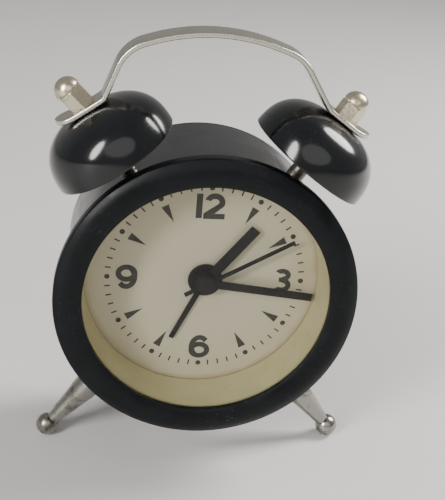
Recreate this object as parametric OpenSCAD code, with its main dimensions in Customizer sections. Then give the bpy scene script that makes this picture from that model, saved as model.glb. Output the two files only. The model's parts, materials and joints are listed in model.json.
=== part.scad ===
// Twin-bell alarm clock with a quartz movement.
// Frame: millimetres, +Z up, +Y towards the back, the dial faces -Y.
// Origin: on the table, at the middle of the clock's width and depth.
// Modules work in the case's own frame, centred on the bezel's axis with Y = 0 at the
// bezel's front lip, and in_place() moves the finished piece to the part's frame. The
// movement sits a little to one side of the bezel's axis, and in_movement() allows for that.

/* [Case] */
// Outside diameter of the front bezel
bezel_d = 93; // [92:0.5:94]
// Diameter of the window in the bezel
window_d = 75.6; // [75:0.2:76]
// Outside diameter of the sheet-metal drum
case_d = 84.6; // [84.6:0.1:85]
// Depth from the bezel's lip to the rear face of the back cover
case_depth = 48.8; // [48.8:0.2:50]
// Height of the dial's centre above the table
axis_h = 60.4; // [59:0.2:64]

/* [Bells and handle] */
// Diameter of each bell at its rim
bell_d = 39.4; // [36:0.2:39.4]
// Height of each bell along its own axis
bell_h = 15.9; // [15:0.1:17]
// Distance from the dial's axis to the rim of a bell
bell_reach = 50.2; // [50.2:0.1:52]
// Lean of each bell from upright
bell_angle = 35; // [34:0.5:36]
// Distance of the bells behind the bezel's lip
bell_y = 16.4; // [16.2:0.1:16.6]
// Width of the handle's metal strip
handle_w = 9.2; // [9:0.1:9.4]
// Thickness of the handle's metal strip
handle_t = 1.6; // [1.5:0.1:1.7]
// Height above the dial's axis at which the handle's two slopes would meet
handle_peak = 82.3; // [81.5:0.1:83]
// Sideways set of the handle's arch from years of use
handle_skew = -1.9; // [-2.4:0.1:0]
// Width across the flats of the bells' cap nuts
nut_af = 7; // [6.8:0.1:7.2]
// Height of the left cap nut
left_nut_h = 10.2; // [9.8:0.1:10.6]
// Height of the right cap nut
right_nut_h = 8.9; // [8.7:0.1:9.4]
// Outward lean of the left cap nut from its bell's axis
left_nut_lean = 11; // [0:1:12]
// Outward lean of the right cap nut from its bell's axis
right_nut_lean = -4; // [-6:1:0]

/* [Legs] */
// Distance between the centres of the two ball feet
foot_spread = 96; // [94:1:98]
// Diameter of a ball foot
ball_d = 7.4; // [7:0.1:8]
// Distance of the legs behind the bezel's lip
leg_y = 19.5; // [19.4:0.1:19.6]

/* [Dial and hands] */
// Depth of the dial's face behind the bezel's lip
dial_depth = 17.5; // [17.5:0.1:17.6]
// Radius of the minute track
track_r = 31; // [30:0.1:31.5]
// Radius at which the numerals are centred
numeral_r = 24.9; // [24:0.1:25]
// Sideways set of the movement and of the dial's print from the middle of the case
movement_shift = 0.9; // [0:0.1:1]
// Hour that the hands show
shown_hour = 1; // [0:1:11]
// Minute that the hands show
shown_minute = 16; // [0:1:59]
// Second that the hands show
shown_second = 10; // [0:1:59]
// Hour at which the alarm is set
alarm_hour = 6.82; // [0:0.01:11.99]

/* [Movement] */
// Teeth of the seconds pinion and of the third pinion
slow_pinion_teeth = 8; // [8:1:8]
// Teeth of the third wheel
third_teeth = 60; // [60:1:60]
// Teeth of the centre wheel, which carries the minute hand
centre_teeth = 64; // [64:1:64]
// Distance from the dial's axis to the third wheel's axis
third_distance = 10.8; // [10.8:0.1:10.8]
// Diameter of the rotor's magnet
magnet_d = 5.6; // [5:0.1:5.8]

/* [Hidden] */
$fn = 72;

// Case
bezel_r = bezel_d / 2;
window_r = window_d / 2;
case_r = case_d / 2;
sheet_t = 1;
bezel_bulge = 1.1;
bezel_edge_r = 1;
bezel_flange = 4.2;
bezel_wall = 1.4;
lens_r = 39.4;
lens_y = 1.6;
lens_t = 1.2;
seat_y = lens_y + lens_t;
drum_back = case_depth - 2.5;
plate_y = dial_depth + 0.8;
plate_t = 1.6;
plate_back = plate_y + plate_t;
post_r = 36;
post_angles = [0, 90, 180];
cover_t = 1.6;
cover_inside = case_depth - cover_t;
knob_length = 6.3;

// Battery bay, moulded into the back cover
bay_half_w = 27.2;
bay_z = -20.1;
bay_half_h = 7.5;
bay_front = 32.5;
bay_wall = 1.2;
mouth_half_w = 26.6;
cell_y = 40;
cell_r = 7.1;
wire_x = 26.25;
wire_y = 38.9;
door_t = 0.9;
door_half_w = 27.5;
door_top = bay_z + 8.1;
door_hinge_z = bay_z - 7.9;
door_hinge_y = case_depth - 0.55;

// Bells, handle and legs
bell_wall = 0.8;
bell_fullness = 0.79;
bell_top = bell_reach + bell_h;
stud_r = 2;
stud_inner = case_r - 3.4;
nut_base = bell_top + handle_t;
nut_dome_h = 3.9;
tab_level = bell_top + handle_t / 2;
tab_inner = 6.4;
tab_bend = 4.9;
tab_outer = 9.4;
tab_curl = 0.9;
leg_r = 5.8;
foot_drop = axis_h - ball_d / 2;
leg_reach = norm([foot_spread / 2, foot_drop]);
leg_angle = atan2(foot_spread / 2, foot_drop);

// Hands
minute_now = shown_minute + shown_second / 60;
second_angle = 6 * shown_second;
minute_angle = 6 * minute_now;
hour_angle = 30 * (shown_hour + minute_now / 60);
alarm_angle = 30 * alarm_hour;

// Gear train: the axes are [x, z] places about the dial's axis
minute_axis = [-8, 0];
time_axis = [-8 - 23 / 3, 0];
alarm_axis = [11.52, 0];
buzzer_axis = [-5, 19];
third_axis = [0, third_distance];
intermediate_axis = 9.8 * [cos(45), sin(45)];
rotor_axis = intermediate_axis + 7.5 * [cos(30), sin(30)];
seconds_module = 2 * third_distance / (slow_pinion_teeth + third_teeth);
centre_module = 2 * third_distance / (slow_pinion_teeth + centre_teeth);
motion_module = 1 / 3;
hour_module = 0.32;
alarm_module = 0.36;
fine_module = 0.28;
rotor_module = 0.25;
tooth_addendum = 0.8;
tooth_dedendum = 1.1;
tooth_root_share = 0.2;
tooth_tip_share = 0.09;
train_back = 35.3;
housing_back = train_back + 1.2;
housing_half_w = 28;
housing_low = -11.2;
housing_high = 27.5;
housing_wall = 1;
housing_screws = [[-25.4, -7.9], [25.4, -7.9], [-25.4, 24.9], [25.4, 24.9]];
arbor_r = 1;
second_arbor_r = 0.56;
play = 0.06;

// Whole clock's depth, from the front of the bells to the ends of the knobs
depth_mid = (bell_y - bell_d / 2 + case_depth + knob_length) / 2;

function unit(v) = v / norm(v);
function turned(angle) = [sin(angle), cos(angle)];
function wrapped(angle) = (angle + 540) % 360 - 180;

// Points along the arc that rounds the corner b of the line a, b, c
function corner_arc(a, b, c, r, steps) =
    let (
        u = unit(a - b),
        v = unit(c - b),
        half = acos(u * v) / 2,
        middle = b + unit(u + v) * r / sin(half),
        from = b + u * r / tan(half) - middle,
        to = b + v * r / tan(half) - middle,
        start = atan2(from[1], from[0]),
        sweep = wrapped(atan2(to[1], to[0]) - start)
    )
    [for (i = [0:steps]) middle + r * [cos(start + sweep * i / steps), sin(start + sweep * i / steps)]];

// A line through the points whose inner corners are rounded to the radii
function rounded_line(points, radii, steps) =
    concat(
        [points[0]],
        [for (i = [1:len(points) - 2])
            each corner_arc(points[i - 1], points[i], points[i + 1], radii[i - 1], steps)],
        [points[len(points) - 1]]
    );

// The line moved sideways by a distance
function beside(line, distance) =
    [for (i = [0:len(line) - 1])
        let (along = unit(line[min(i + 1, len(line) - 1)] - line[max(i - 1, 0)]))
        line[i] + distance * [-along[1], along[0]]];

function reversed(list) = [for (i = [len(list) - 1:-1:0]) list[i]];

// Half outline of a domed shell, from its rim to its crown, fuller than an ellipse
function dome_line(r, h, steps) =
    [for (i = [0:steps])
        let (t = 90 * i / steps)
        [r * pow(cos(t), bell_fullness), h * pow(sin(t), bell_fullness)]];

// Moves a piece from the case's frame to the part's frame
module in_place() {
    translate([0, -depth_mid, axis_h])
        children();
}

// Moves a piece from the movement's own frame, about the hands' axis, to the case's frame
module off_centre() {
    translate([movement_shift, 0, 0])
        children();
}

module in_movement() {
    in_place()
        off_centre()
            children();
}

// A flat shape facing the viewer, from depth y to y + t
module plate(y, t) {
    translate([0, y + t, 0])
        rotate([90, 0, 0])
            linear_extrude(t)
                children();
}

// A shape turned about the dial's axis, or about an axis beside it
module lathe(axis = [0, 0]) {
    translate([axis[0], 0, axis[1]])
        rotate([-90, 0, 0])
            rotate_extrude()
                children();
}

module rod(axis, r, from, to) {
    translate([axis[0], from, axis[1]])
        rotate([-90, 0, 0])
            cylinder(r = r, h = to - from);
}

module sleeve(axis, r, bore, from, to) {
    difference() {
        rod(axis, r, from, to);
        rod(axis, bore, from - 1, to + 1);
    }
}

// Frame of a bell: +Z points from the dial's axis out through the bell's crown
module bell_frame(side) {
    translate([0, bell_y, 0])
        rotate([0, side * bell_angle, 0])
            children();
}

// Frame of a leg: +Z points from the dial's axis out through the ball foot
module leg_frame(side) {
    translate([0, leg_y, 0])
        rotate([0, side * (180 - leg_angle), 0])
            children();
}

// Spur gear whose tooth 0 points at angle phase, counted from +X towards +Z
module gear(axis, teeth, modulus, y, t, phase = 0) {
    pitch_r = teeth * modulus / 2;
    tip_r = pitch_r + tooth_addendum * modulus;
    root_r = pitch_r - tooth_dedendum * modulus;
    corners = [
        [root_r, -tooth_root_share],
        [tip_r, -tooth_tip_share],
        [tip_r, tooth_tip_share],
        [root_r, tooth_root_share]
    ];
    translate([axis[0], 0, axis[1]])
        plate(y, t)
            polygon([
                for (i = [0:teeth - 1])
                    for (corner = corners)
                        let (angle = phase + (i + corner[1]) * 360 / teeth)
                        corner[0] * [cos(angle), sin(angle)]
            ]);
}

// Case

module front_bezel() {
    face = [
        for (i = [0:16])
            let (t = i / 16)
            [window_r + (bezel_r - bezel_edge_r - window_r) * t, -4 * bezel_bulge * t * (1 - t)]
    ];
    edge = [
        for (a = [15:15:90])
            [bezel_r - bezel_edge_r + bezel_edge_r * sin(a), bezel_edge_r * (1 - cos(a))]
    ];
    back = [
        [bezel_r, bezel_flange],
        [bezel_r - bezel_wall, bezel_flange],
        [bezel_r - bezel_wall, seat_y],
        [lens_r + 0.2, seat_y],
        [lens_r + 0.2, lens_y],
        [window_r, lens_y]
    ];
    color("#1d1f22")
        in_place()
            lathe()
                polygon(concat(face, edge, back));
}

module lens() {
    color([0.85, 0.9, 0.92, 0.25])
        in_place()
            rod([0, 0], lens_r, lens_y, seat_y);
}

module dial_surround() {
    color("#d8d6b4")
        in_place()
            lathe()
                polygon([
                    [38, seat_y],
                    [case_r - sheet_t - 0.2, seat_y],
                    [case_r - sheet_t - 0.2, seat_y + 1],
                    [38.8, seat_y + 1],
                    [38, dial_depth],
                    [37.2, dial_depth]
                ]);
}

module dial() {
    color("#d9d2c0")
        in_place()
            difference() {
                rod([0, 0], 38.6, dial_depth, plate_y);
                off_centre()
                    rod([0, 0], 3.2, 0, 30);
            }
}

module oval(rx, ry) {
    polygon([for (a = [0:6:354]) [rx * cos(a), ry * sin(a)]]);
}

module oval_ring(rx, ry, w) {
    difference() {
        oval(rx, ry);
        oval(rx - w, ry - w);
    }
}

// Part of an oval ring, from angle a to angle b
module oval_band(rx, ry, w, a, b) {
    steps = 12;
    intersection() {
        oval_ring(rx, ry, w);
        polygon(concat(
            [[0, 0]],
            [for (i = [0:steps]) let (t = a + (b - a) * i / steps) 2 * ry * [cos(t), sin(t)]]
        ));
    }
}

module numeral_1() {
    translate([-0.97, 0.2])
        square([1.94, 8.1]);
}

module numeral_2() {
    foot_h = 1.8;
    translate([0, 5.6])
        oval_band(3.2, 2.95, 1.85, -30, 165);
    polygon([[-3.35, 1.2], [-3.35, foot_h], [1.15, 5.1], [2.75, 4.15], [-0.6, 1.2]]);
    translate([-3.35, 0])
        square([6.7, foot_h]);
}

module numeral_3() {
    stroke = 1.7;
    translate([0, 6.15])
        oval_band(2.75, 2.25, stroke, -88, 150);
    translate([0, 2.55])
        oval_band(3.05, 2.55, stroke, -150, 88);
    translate([-1, 3.7])
        square([1.1, 1.6]);
}

module numeral_6() {
    stroke = 1.75;
    translate([0, 3])
        oval_ring(3.45, 3, stroke);
    translate([0, 4.27])
        oval_band(3.45, 4.27, stroke, 48, 250);
}

// Stands a mark on the dial at an hour, upright and centred on the height of a numeral
module at_hour(hour, x = 0) {
    translate(numeral_r * turned(30 * hour) + [x, -4.25])
        children();
}

module marks_outline() {
    for (minute = [0:59])
        rotate(-6 * minute)
            translate([0, track_r])
                if (minute % 5 == 0) circle(r = 0.85, $fn = 24);
                else square([0.46, 1.85], center = true);
    for (hour = [1, 2, 4, 5, 7, 8, 10, 11])
        rotate(-30 * hour)
            polygon([[0, 22.2], [1.25, 28.3], [-1.25, 28.3]]);
    at_hour(12, -3.6)
        numeral_1();
    at_hour(12, 1.15)
        numeral_2();
    at_hour(3)
        numeral_3();
    at_hour(6)
        numeral_6();
    at_hour(9)
        translate([0, 8.5])
            rotate(180)
                numeral_6();
}

module dial_markings() {
    ink_t = 0.08;
    color("#45423e")
        in_movement()
            plate(dial_depth - ink_t, ink_t)
                marks_outline();
}

module case_drum() {
    inner_r = case_r - sheet_t;
    lip_r = bezel_r - bezel_wall - 0.2;
    color("#17181a")
        in_place()
            difference() {
                lathe()
                    polygon([
                        [inner_r, seat_y],
                        [lip_r, seat_y],
                        [lip_r, seat_y + 1],
                        [case_r, seat_y + 1],
                        [case_r, drum_back],
                        [inner_r, drum_back]
                    ]);
                for (side = [-1, 1]) {
                    bell_frame(side)
                        cylinder(r = stud_r + 0.1, h = bezel_r);
                    leg_frame(side)
                        cylinder(r = stud_r + 0.1, h = bezel_r);
                }
            }
}

// Back cover with its battery bay, post holes, sound holes and rear foot

module box_between(low, high) {
    translate(low)
        cube(high - low);
}

module cover_shell() {
    round_r = 2.2;
    inner_r = case_r - sheet_t - 0.1;
    edge = [
        for (a = [0:15:90])
            [case_r - round_r + round_r * cos(a), case_depth - round_r + round_r * sin(a)]
    ];
    lathe()
        polygon(concat(
            [[0, cover_inside], [inner_r - 1.3, cover_inside], [inner_r - 1.3, drum_back - 2]],
            [[inner_r, drum_back - 2], [inner_r, drum_back], [case_r, drum_back]],
            edge,
            [[0, case_depth]]
        ));
}

module bay_outside() {
    box_between(
        [-bay_half_w - bay_wall, bay_front - bay_wall, bay_z - bay_half_h - bay_wall],
        [bay_half_w + bay_wall, cover_inside, bay_z + bay_half_h + bay_wall]
    );
}

module bay_inside() {
    box_between(
        [-bay_half_w, bay_front, bay_z - bay_half_h],
        [bay_half_w, cover_inside - 0.6, bay_z + bay_half_h]
    );
    box_between(
        [-mouth_half_w, bay_front, bay_z - bay_half_h],
        [mouth_half_w, case_depth + 1, bay_z + bay_half_h]
    );
    box_between(
        [-door_half_w - 0.2, case_depth - door_t - 0.1, door_hinge_z - 0.9],
        [door_half_w + 0.2, case_depth + 1, door_top + 0.2]
    );
}

module rear_foot() {
    foot_low = 1.2 - axis_h;
    plate(drum_back + 0.1, case_depth - drum_back - 0.1)
        polygon([[-15, -34], [15, -34], [9, foot_low], [-9, foot_low]]);
    box_between([-9, case_depth - 7, foot_low], [9, case_depth, foot_low + 2.4]);
    translate([-1, 0, 0])
        rotate([90, 0, 90])
            linear_extrude(2)
                polygon([
                    [case_depth - 7, foot_low + 2],
                    [case_depth - 2, foot_low + 2],
                    [case_depth - 2, -case_r - 0.4],
                    [drum_back + 0.1, -case_r - 0.4]
                ]);
}

module rear_cover() {
    switch_slot_low = [12.8, cover_inside - 1, 20.7];
    switch_slot_high = [20.2, case_depth + 1, 23.3];
    color("#1b1c1e")
        in_place()
            difference() {
                union() {
                    cover_shell();
                    bay_outside();
                    rear_foot();
                }
                bay_inside();
                box_between(switch_slot_low, switch_slot_high);
                off_centre()
                    for (axis = [time_axis, alarm_axis])
                        rod(axis, arbor_r + 0.3, 30, 60);
                for (angle = post_angles)
                    rod(post_r * [cos(angle), sin(angle)], 1.3, cover_inside - 1, 60);
                for (i = [0:6])
                    rod(buzzer_axis + (i == 6 ? 0 : 5) * [cos(60 * i), sin(60 * i)],
                        1, cover_inside - 1, 60);
                for (x = [-wire_x, wire_x])
                    translate([x, wire_y, bay_z + bay_half_h - 1])
                        cylinder(r = 0.7, h = 4);
            }
}

module foot_pad() {
    color("#2a2a2a")
        in_place()
            box_between([-8.5, case_depth - 6.6, -axis_h], [8.5, case_depth - 0.4, 1.2 - axis_h]);
}

module battery_door() {
    low_z = door_hinge_z;
    rib_y = case_depth - door_t;
    color("#202124")
        in_place()
            difference() {
                union() {
                    box_between([-door_half_w, rib_y, low_z], [door_half_w, case_depth, door_top]);
                    translate([-door_half_w, door_hinge_y, door_hinge_z])
                        rotate([0, 90, 0])
                            cylinder(r = 0.45, h = 2 * door_half_w);
                    box_between([-3, rib_y - 1.2, door_top - 2], [3, rib_y, door_top - 1]);
                }
                translate([0, case_depth + 5.4, door_top - 2.8])
                    rotate([0, 90, 0])
                        cylinder(r = 5.9, h = 9, center = true);
            }
}

// Electric parts

module battery() {
    color("#b9bcc0")
        in_place()
            translate([0, cell_y, bay_z])
                rotate([0, 90, 0])
                    rotate_extrude()
                        polygon([
                            [0, -24.3],
                            [6.4, -24.3],
                            [cell_r, -23.8],
                            [cell_r, 24.2],
                            [6.4, 24.7],
                            [2.75, 24.7],
                            [2.75, 26],
                            [0, 26]
                        ]);
}

// Conical coil spring that presses on the flat end of the cell
module battery_spring() {
    wire_r = 0.3;
    turns = 4;
    steps = 12;
    sides = 8;
    rings = turns * steps;
    coil = [
        for (i = [0:rings])
            let (a = 360 * i / steps, share = i / rings)
            [-bay_half_w + 0.75 + 1.8 * share, (5 - 2.6 * share) * cos(a), (5 - 2.6 * share) * sin(a)]
    ];
    points = [
        for (i = [0:rings])
            let (a = 360 * i / steps)
            for (j = [0:sides - 1])
                let (b = 360 * j / sides)
                coil[i] + wire_r * [sin(b), cos(b) * cos(a), cos(b) * sin(a)]
    ];
    walls = [
        for (i = [0:rings - 1])
            for (j = [0:sides - 1])
                let (k = (j + 1) % sides)
                [i * sides + j, i * sides + k, (i + 1) * sides + k, (i + 1) * sides + j]
    ];
    ends = [
        [for (j = [sides - 1:-1:0]) j],
        [for (j = [0:sides - 1]) rings * sides + j]
    ];
    color("#c3c3bd")
        in_place()
            translate([0, cell_y, bay_z]) {
                polyhedron(points, concat(walls, ends));
                box_between([-bay_half_w, -5.5, -5.5], [-bay_half_w + 0.4, 5.5, 6.9]);
            }
}

module battery_contact() {
    color("#c3c3bd")
        in_place()
            translate([0, cell_y, bay_z]) {
                box_between([bay_half_w - 0.4, -5, -5], [bay_half_w, 5, 6.9]);
                translate([26.05, 0, 0])
                    rotate([0, 90, 0])
                        cylinder(r = 3, h = 0.8);
            }
}

module buzzer() {
    color("#26282b")
        in_place()
            difference() {
                rod(buzzer_axis, 9, 42.8, cover_inside);
                rod(buzzer_axis, 8, 44, cover_inside + 1);
                rod(buzzer_axis, 1.4, 40, 45);
            }
}

// A wire that runs straight from point to point
module wire(points) {
    wire_r = 0.45;
    bend_r = 0.48;
    for (i = [0:len(points) - 2]) {
        run = points[i + 1] - points[i];
        translate(points[i])
            rotate([0, acos(run[2] / norm(run)), atan2(run[1], run[0])])
                cylinder(r = wire_r, h = norm(run), $fn = 16);
        translate(points[i + 1])
            sphere(r = bend_r, $fn = 16);
    }
}

module lead_wires() {
    outer = movement_shift - 22;
    inner = movement_shift - 20;
    color("#8c2f2b")
        in_place() {
            wire([[outer, 34.6, 4], [outer, wire_y, 4], [-wire_x, wire_y, -6], [-wire_x, wire_y, -14]]);
            wire([[inner, 34.6, 0], [inner, wire_y, 0], [inner, wire_y, -8.6], [wire_x, wire_y, -8.6],
                [wire_x, wire_y, -14]]);
            wire([[outer, 34.6, 9], [outer, 41, 12], [-11, 42.2, 17]]);
            wire([[inner, 34.6, 12], [inner, 41, 16], [-11, 42.2, 21]]);
        }
}

module circuit_board() {
    color("#3f6b45")
        in_movement() {
            box_between([-26, 33, -5.4], [-17.6, 34, 22]);
            rod([-21.8, 16.5], 2.2, 31.9, 33);
        }
}

module quartz_crystal() {
    color("#c9ccd0")
        in_movement()
            translate([-23.5, 31.9, -3])
                cylinder(r = 1.05, h = 6.2);
}

module coil() {
    coil_axis_y = 32.2;
    color("#b0622d")
        in_movement()
            translate([22, coil_axis_y, 0]) {
                translate([0, 0, 5])
                    cylinder(r = 2.8, h = 11.4);
                for (z = [4.2, 16.2])
                    translate([0, 0, z])
                        cylinder(r = 3, h = 1);
                box_between([-1, 0.4, 0.8], [1, 1.2, 20.6]);
            }
}

module stator() {
    sheet_y = 31.8;
    color("#9a9ca0")
        in_movement()
            plate(sheet_y, 0.8)
                difference() {
                    union() {
                        translate(rotor_axis)
                            circle(r = magnet_d / 2 + 2.4);
                        translate([15, 0.6])
                            square([2.6, 20.2]);
                        translate([15, 0.6])
                            square([9.4, 2.8]);
                        translate([15, 18])
                            square([9.4, 2.8]);
                    }
                    translate(rotor_axis)
                        circle(r = magnet_d / 2 + 0.5);
                }
}

// Movement plates

module mounting_plate() {
    color("#d6d3c8")
        in_place()
            difference() {
                union() {
                    rod([0, 0], 38.5, plate_y, plate_back);
                    for (angle = post_angles)
                        rod(post_r * [cos(angle), sin(angle)], 2.4, plate_y, cover_inside);
                    off_centre()
                        rod(minute_axis, 0.6, plate_y, 24.7);
                }
                off_centre() {
                    rod([0, 0], 2.8 + play, 0, 30);
                    rod(time_axis, 0.6 + play, plate_y + 0.4, 30);
                    rod(alarm_axis, 0.6 + play, plate_y + 0.4, 30);
                    for (place = housing_screws)
                        rod(place, 0.82, plate_y + 0.3, 30);
                }
                for (angle = post_angles)
                    rod(post_r * [cos(angle), sin(angle)], 1.02, cover_inside - 9, 60);
            }
}

module movement_housing() {
    low = [-housing_half_w, plate_back, housing_low];
    high = [housing_half_w, housing_back, housing_high];
    inset = [housing_wall, 1, housing_wall];
    color("#e4e2da")
        in_movement()
            difference() {
                union() {
                    difference() {
                        box_between(low, high);
                        box_between(low + inset - [0, 2, 0], high - [housing_wall, 1.2, housing_wall]);
                    }
                    for (place = housing_screws)
                        rod(place, 2.2, plate_back, housing_back);
                    rod(third_axis, 0.56, 24.7, housing_back);
                    rod(intermediate_axis, 0.46, 27.8, housing_back);
                    rod(rotor_axis, 0.36, 29.3, housing_back);
                }
                for (place = housing_screws)
                    rod(place, 0.95, 0, 60);
                rod([0, 0], second_arbor_r + play, 30, 60);
                rod(time_axis, arbor_r + play, 30, 60);
                rod(alarm_axis, arbor_r + play, 30, 60);
                box_between([-23.2, 34, -1], [-18.8, 40, 15]);
            }
}

// Wheels

module alarm_wheel() {
    color("#e8e6df")
        in_movement()
            difference() {
                union() {
                    gear([0, 0], 36, alarm_module, 20.4, 1.2);
                    rod([0, 0], 2.8, 15.9, 21.6);
                }
                rod([0, 0], 2.1, 0, 40);
            }
}

module hour_wheel() {
    color("#e8e6df")
        in_movement()
            difference() {
                union() {
                    gear([0, 0], 40, hour_module, 22.1, 1.1, 180);
                    rod([0, 0], 2.1 - play, 14.7, 23.2);
                }
                rod([0, 0], 1.3, 0, 40);
            }
}

module centre_wheel() {
    cannon_teeth = 12;
    color("#d8b45a")
        in_movement()
            difference() {
                union() {
                    gear([0, 0], centre_teeth, centre_module, 25, 1, 90);
                    gear([0, 0], cannon_teeth, motion_module, 23.5, 1.5, 180 + 180 / cannon_teeth);
                    rod([0, 0], 1.3 - play, 13.5, 26);
                }
                rod([0, 0], second_arbor_r + play, 0, 40);
            }
}

module seconds_wheel() {
    color("#d8b45a")
        in_movement() {
            gear([0, 0], 60, fine_module, 28, 1, 45);
            gear([0, 0], slow_pinion_teeth, seconds_module, 26.5, 1.5, 90 + 180 / slow_pinion_teeth);
            rod([0, 0], second_arbor_r, 12.4, 36.2);
        }
}

module third_wheel() {
    color("#e8e6df")
        in_movement()
            difference() {
                union() {
                    gear(third_axis, third_teeth, seconds_module, 26.6, 0.9, -90);
                    gear(third_axis, slow_pinion_teeth, centre_module, 24.9, 1.7,
                        -90 + 180 / slow_pinion_teeth);
                }
                rod(third_axis, 0.56 + play, 0, 40);
            }
}

module intermediate_wheel() {
    color("#e8e6df")
        in_movement()
            difference() {
                union() {
                    gear(intermediate_axis, 50, rotor_module, 29.6, 0.8, 30);
                    gear(intermediate_axis, 10, fine_module, 27.9, 1.7, 225 + 18);
                }
                rod(intermediate_axis, 0.46 + play, 0, 40);
            }
}

module rotor() {
    color("#4b4d52")
        in_movement()
            difference() {
                union() {
                    gear(rotor_axis, 10, rotor_module, 29.4, 1.8, 210 + 18);
                    rod(rotor_axis, magnet_d / 2, 31.2, 33.4);
                }
                rod(rotor_axis, 0.36 + play, 0, 40);
            }
}

module minute_wheel() {
    color("#e8e6df")
        in_movement()
            difference() {
                union() {
                    gear(minute_axis, 36, motion_module, 23.6, 0.8);
                    gear(minute_axis, 10, hour_module, 22, 1.6, 18);
                }
                rod(minute_axis, 0.6 + play, 0, 40);
            }
}

// Knurled knob on an arbor, turned by hand from the back
module set_knob(axis, r) {
    ridges = 30;
    difference() {
        lathe(axis)
            polygon([
                [0, case_depth + 0.6],
                [r - 0.4, case_depth + 0.6],
                [r, case_depth + 1],
                [r, case_depth + knob_length - 0.8],
                [r - 0.8, case_depth + knob_length],
                [0, case_depth + knob_length]
            ]);
        for (i = [0:ridges - 1])
            rod(axis + (r + 0.12) * [cos(360 * i / ridges), sin(360 * i / ridges)],
                0.35, case_depth, case_depth + knob_length - 1);
    }
    rod(axis, arbor_r, 26, case_depth + 1);
}

module time_set_knob() {
    color("#c9c7c0")
        in_movement() {
            set_knob(time_axis, 5.5);
            gear(time_axis, 10, motion_module, 23.4, 1.2, 18);
            rod(time_axis, arbor_r, 22.4, 26.5);
            rod(time_axis, 0.6, plate_y + 0.5, 22.5);
        }
}

module alarm_set_knob() {
    color("#c9c7c0")
        in_movement() {
            set_knob(alarm_axis, 5);
            gear(alarm_axis, 28, alarm_module, 20.4, 1.2, 180 + 180 / 28);
            rod(alarm_axis, arbor_r, 20.4, 26.5);
            rod(alarm_axis, 0.6, plate_y + 0.5, 20.5);
        }
}

module alarm_switch() {
    color("#c9c7c0")
        in_place() {
            box_between([13, cover_inside - 0.2, 20.9], [16, case_depth + 1.5, 23.1]);
            box_between([10.3, cover_inside - 1, 19.4], [18.7, cover_inside - 0.2, 24.6]);
            for (x = [13.5, 14.5, 15.5])
                translate([x, case_depth + 1.4, 20.9])
                    cylinder(r = 0.3, h = 2.2, $fn = 16);
        }
}

// Hands: flat bars on round bosses, pressed on their pipes

module hand_outline(angle, length, tail, base_w, tip_w, boss_r) {
    rotate(-angle)
        polygon([[-base_w / 2, -tail], [base_w / 2, -tail], [tip_w / 2, length], [-tip_w / 2, length]]);
    circle(r = boss_r);
}

module hand(y, t, bore) {
    difference() {
        plate(y, t)
            children();
        rod([0, 0], bore, y - 1, y + t + 1);
    }
}

module alarm_hand() {
    color("#3a3734")
        in_movement()
            hand(16.3, 0.5, 2.82)
                hand_outline(alarm_angle, 23.2, 0, 1.9, 1.6, 5.5);
}

module hour_hand() {
    color("#3a3734")
        in_movement() {
            hand(15, 0.5, 2.06)
                hand_outline(hour_angle, 23.5, 0, 3.5, 3.4, 4.2);
            sleeve([0, 0], 3.4, 2.06, 14.7, 15.6);
        }
}

module minute_hand() {
    color("#3a3734")
        in_movement() {
            hand(13.9, 0.45, 1.26)
                hand_outline(minute_angle, 34.9, 0, 2.8, 2.6, 3.6);
            sleeve([0, 0], 2.9, 1.26, 13.6, 14.5);
        }
}

module second_hand() {
    color("#3a3734")
        in_movement()
            difference() {
                union() {
                    plate(12.9, 0.35)
                        hand_outline(second_angle, 30.9, 7.6, 1.5, 1.3, 3.4);
                    lathe()
                        polygon([[0, 12.1], [2.8, 12.1], [3.2, 12.4], [3.2, 13.1], [0, 13.1]]);
                }
                rod([0, 0], second_arbor_r + 0.01, 12.4, 20);
            }
}

// Bells, posts, nuts and handle

module bell(side) {
    outside = dome_line(bell_d / 2, bell_h, 24);
    inside = dome_line(bell_d / 2 - bell_wall, bell_h - bell_wall, 24);
    color("#0d0e10")
        in_place()
            bell_frame(side)
                translate([0, 0, bell_reach])
                    difference() {
                        rotate_extrude()
                            polygon(concat(outside, reversed(inside)));
                        cylinder(r = stud_r + 0.1, h = 2 * bell_h);
                    }
}

module bell_left() {
    bell(-1);
}

module bell_right() {
    bell(1);
}

module bell_post(side) {
    shoulder = bell_top - bell_wall - 0.05;
    color("#b9b4a6")
        in_place()
            bell_frame(side)
                rotate_extrude()
                    polygon([
                        [0, stud_inner],
                        [stud_r, stud_inner],
                        [stud_r, case_r],
                        [2.7, case_r],
                        [2.7, shoulder],
                        [stud_r, shoulder],
                        [stud_r, nut_base + 4.5],
                        [0, nut_base + 4.5]
                    ]);
}

module bell_post_left() {
    bell_post(-1);
}

module bell_post_right() {
    bell_post(1);
}

// Acorn nut on a bell's stud, leaning by an angle, with its foot flat on the handle's tab
module cap_nut(side, h, lean) {
    corner_r = nut_af / sqrt(3);
    hex_h = h - nut_dome_h;
    dome = [
        for (a = [0:10:90])
            [(corner_r + 0.1) * cos(a), hex_h + nut_dome_h * sin(a)]
    ];
    color("#c8c0a8")
        in_place()
            bell_frame(side)
                translate([0, 0, nut_base])
                    difference() {
                        rotate([0, side * lean, 0]) {
                            rotate(side * 8)
                                translate([0, 0, -1])
                                    cylinder(r = corner_r, h = hex_h + 1.1, $fn = 6);
                            rotate_extrude()
                                polygon(concat([[0, hex_h - 0.3], [corner_r - 0.3, hex_h - 0.3]], dome));
                        }
                        translate([-10, -10, -4])
                            cube([20, 20, 4]);
                        translate([0, 0, -1])
                            cylinder(r = stud_r + 0.02, h = 6);
                    }
}

module cap_nut_left() {
    cap_nut(-1, left_nut_h, left_nut_lean);
}

module cap_nut_right() {
    cap_nut(1, right_nut_h, right_nut_lean);
}

// A place on a tab of the handle, outwards from its bell's axis and raised from the bell's crown
function tab_point(side, along, raised = 0) =
    (tab_level + raised) * [side * sin(bell_angle), cos(bell_angle)]
    + along * [side * cos(bell_angle), -sin(bell_angle)];

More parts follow.
